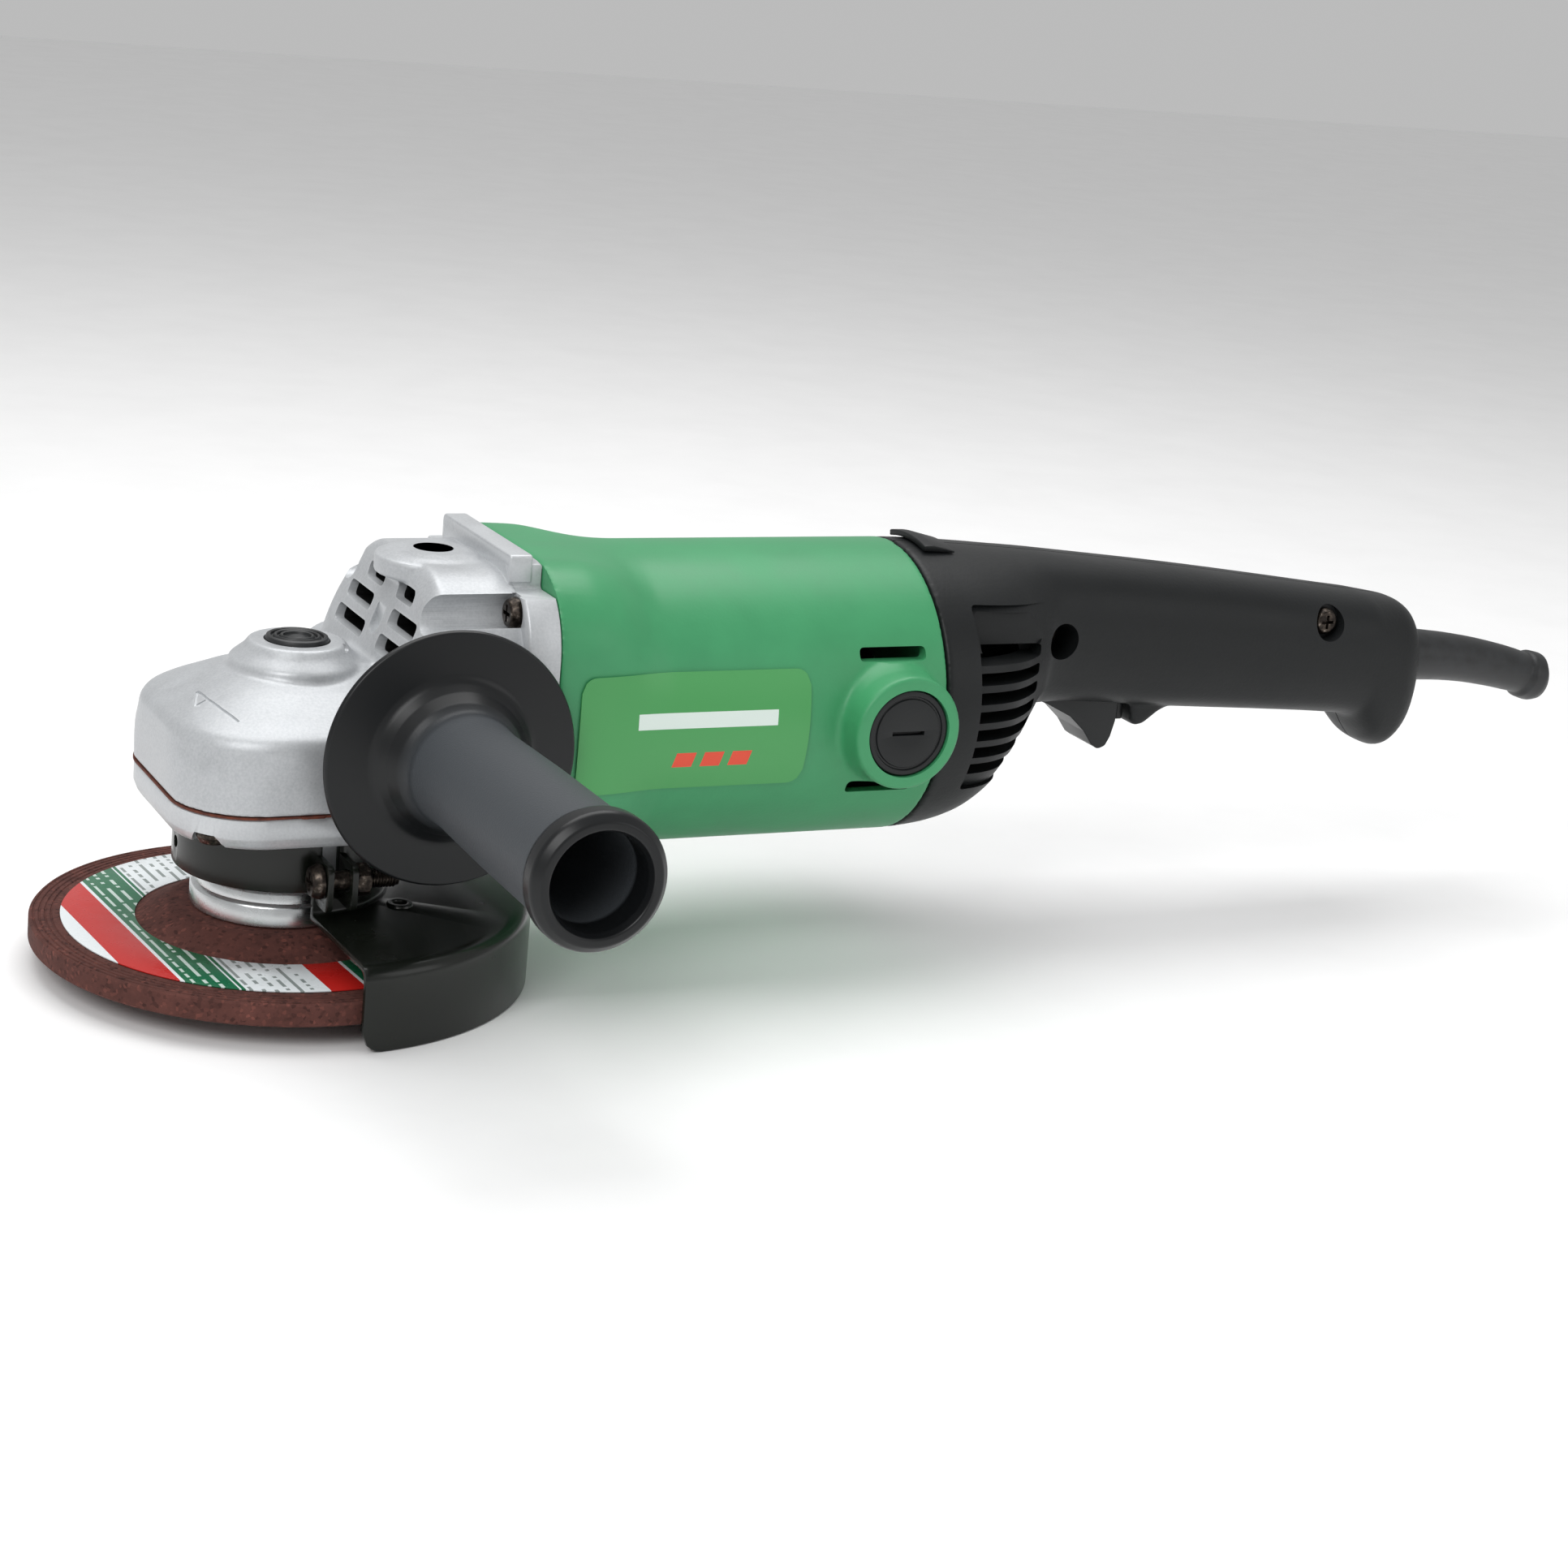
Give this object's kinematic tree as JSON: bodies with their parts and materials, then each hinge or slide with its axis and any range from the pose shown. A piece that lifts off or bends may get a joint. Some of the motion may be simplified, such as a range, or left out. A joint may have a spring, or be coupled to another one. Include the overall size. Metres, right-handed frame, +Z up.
{
  "type": "angle grinder",
  "caption": "Corded angle grinder with a long rear handle, side handle, adjustable wheel guard and depressed-centre grinding wheel.",
  "frame": {"origin": "centre of the spindle's lower end face", "axes": "+Z up the spindle towards the gear head, +X to the rear along the motor, -Y towards the side handle"},
  "size_m": [0.4717, 0.2081, 0.1136],
  "materials": {
    "cast_silver": "die-cast, silver painted, satin",
    "green_nylon": "moulded green nylon, satin",
    "label_green": "printed plate, satin",
    "black_nylon": "moulded black nylon, fine texture",
    "black_enamel": "black enamel on pressed steel",
    "steel": "machined steel",
    "black_oxide": "blackened steel",
    "zinc_plate": "zinc plated, turned",
    "abrasive": "resin-bonded abrasive grain",
    "label_paper": "printed paper",
    "copper": "enamelled copper wire and copper bars",
    "brass": "pressed brass",
    "carbon": "carbon and moulded black parts",
    "gasket_paper": "brown gasket paper",
    "rubber": "black rubber"
  },
  "bodies": {
    "body": {"bearing_cover": "cast_silver", "brush_cap_left": "black_nylon", "brush_cap_right": "black_nylon", "brush_holder_left": "brass", "brush_holder_right": "brass", "carbon_brush_left": "carbon", "carbon_brush_right": "carbon", "case_screw_1": "black_oxide", "case_screw_2": "black_oxide", "case_screw_3": "black_oxide", "case_screw_4": "black_oxide", "cord_guard": "rubber", "cover_screw_1": "black_oxide", "cover_screw_2": "black_oxide", "cover_screw_3": "black_oxide", "cover_screw_4": "black_oxide", "fan_baffle": "black_nylon", "felt_seal": "rubber", "field_coil_lower": "copper", "field_coil_upper": "copper", "front_bearing": "steel", "gear_head": "cast_silver", "handle_screw_front": "black_oxide", "handle_screw_rear": "black_oxide", "handle_stud": "zinc_plate", "head_gasket": "gasket_paper", "lock_spring": "steel", "motor_housing": "green_nylon", "nameplate": "label_green", "rear_bearing": "steel", "rear_handle_left": "black_nylon", "rear_handle_right": "black_nylon", "side_handle": "black_nylon", "spindle_bearing_outer": "steel", "stator_core": "steel", "switch_body": "carbon", "top_tab": "black_nylon"},
    "wheel_spindle": {"spindle": "steel", "driven_gear": "steel", "gear_nut": "steel", "spindle_bearing_inner": "steel", "inner_flange": "zinc_plate", "grinding_wheel": "abrasive", "wheel_label": "label_paper", "lock_nut": "black_oxide"},
    "armature": {"armature_shaft": "steel", "armature_core": "steel", "armature_winding_front": "copper", "armature_winding_rear": "copper", "commutator": "copper", "cooling_fan": "black_nylon", "pinion": "steel"},
    "guard": {"guard_shell": "black_enamel", "guard_band": "black_enamel", "clamp_screw": "black_oxide", "clamp_nut": "black_oxide"},
    "spindle_lock": {"lock_button": "rubber", "lock_pin": "steel"},
    "trigger": {"trigger": "black_nylon"},
    "lock_off": {"lock_off_tab": "black_nylon"}
  },
  "joints": [
    {"name": "spindle_spin", "type": "hinge", "parent": "body", "child": "wheel_spindle", "pos_m": [0, 0, 0], "axis": [0, 0, 1], "continuous": true},
    {"name": "armature_spin", "type": "hinge", "parent": "body", "child": "armature", "pos_m": [0.1, 0, 0.0638], "axis": [1, 0, 0], "continuous": true},
    {"name": "guard_turn", "type": "hinge", "parent": "body", "child": "guard", "pos_m": [0, 0, 0], "axis": [0, 0, 1], "range_deg": [-90, 30]},
    {"name": "spindle_lock_press", "type": "slide", "parent": "body", "child": "spindle_lock", "axis": [0, 0, -1], "range_m": [0, 0.0035], "stiffness_N_per_m": 400, "springref_m": -0.002, "deforming": ["lock_spring"]},
    {"name": "trigger_pull", "type": "hinge", "parent": "body", "child": "trigger", "pos_m": [0.2215, 0, 0.061], "axis": [0, -1, 0], "range_deg": [0, 8], "stiffness_Nm_per_rad": 0.6, "springref_deg": -5.73},
    {"name": "lock_off_press", "type": "slide", "parent": "body", "child": "lock_off", "axis": [0, 0, 1], "range_m": [0, 0.002], "stiffness_N_per_m": 300, "springref_m": -0.001}
  ],
  "couplings": [
    {"joint": "armature_spin", "follows": "spindle_spin", "ratio": 3.3636}
  ]
}
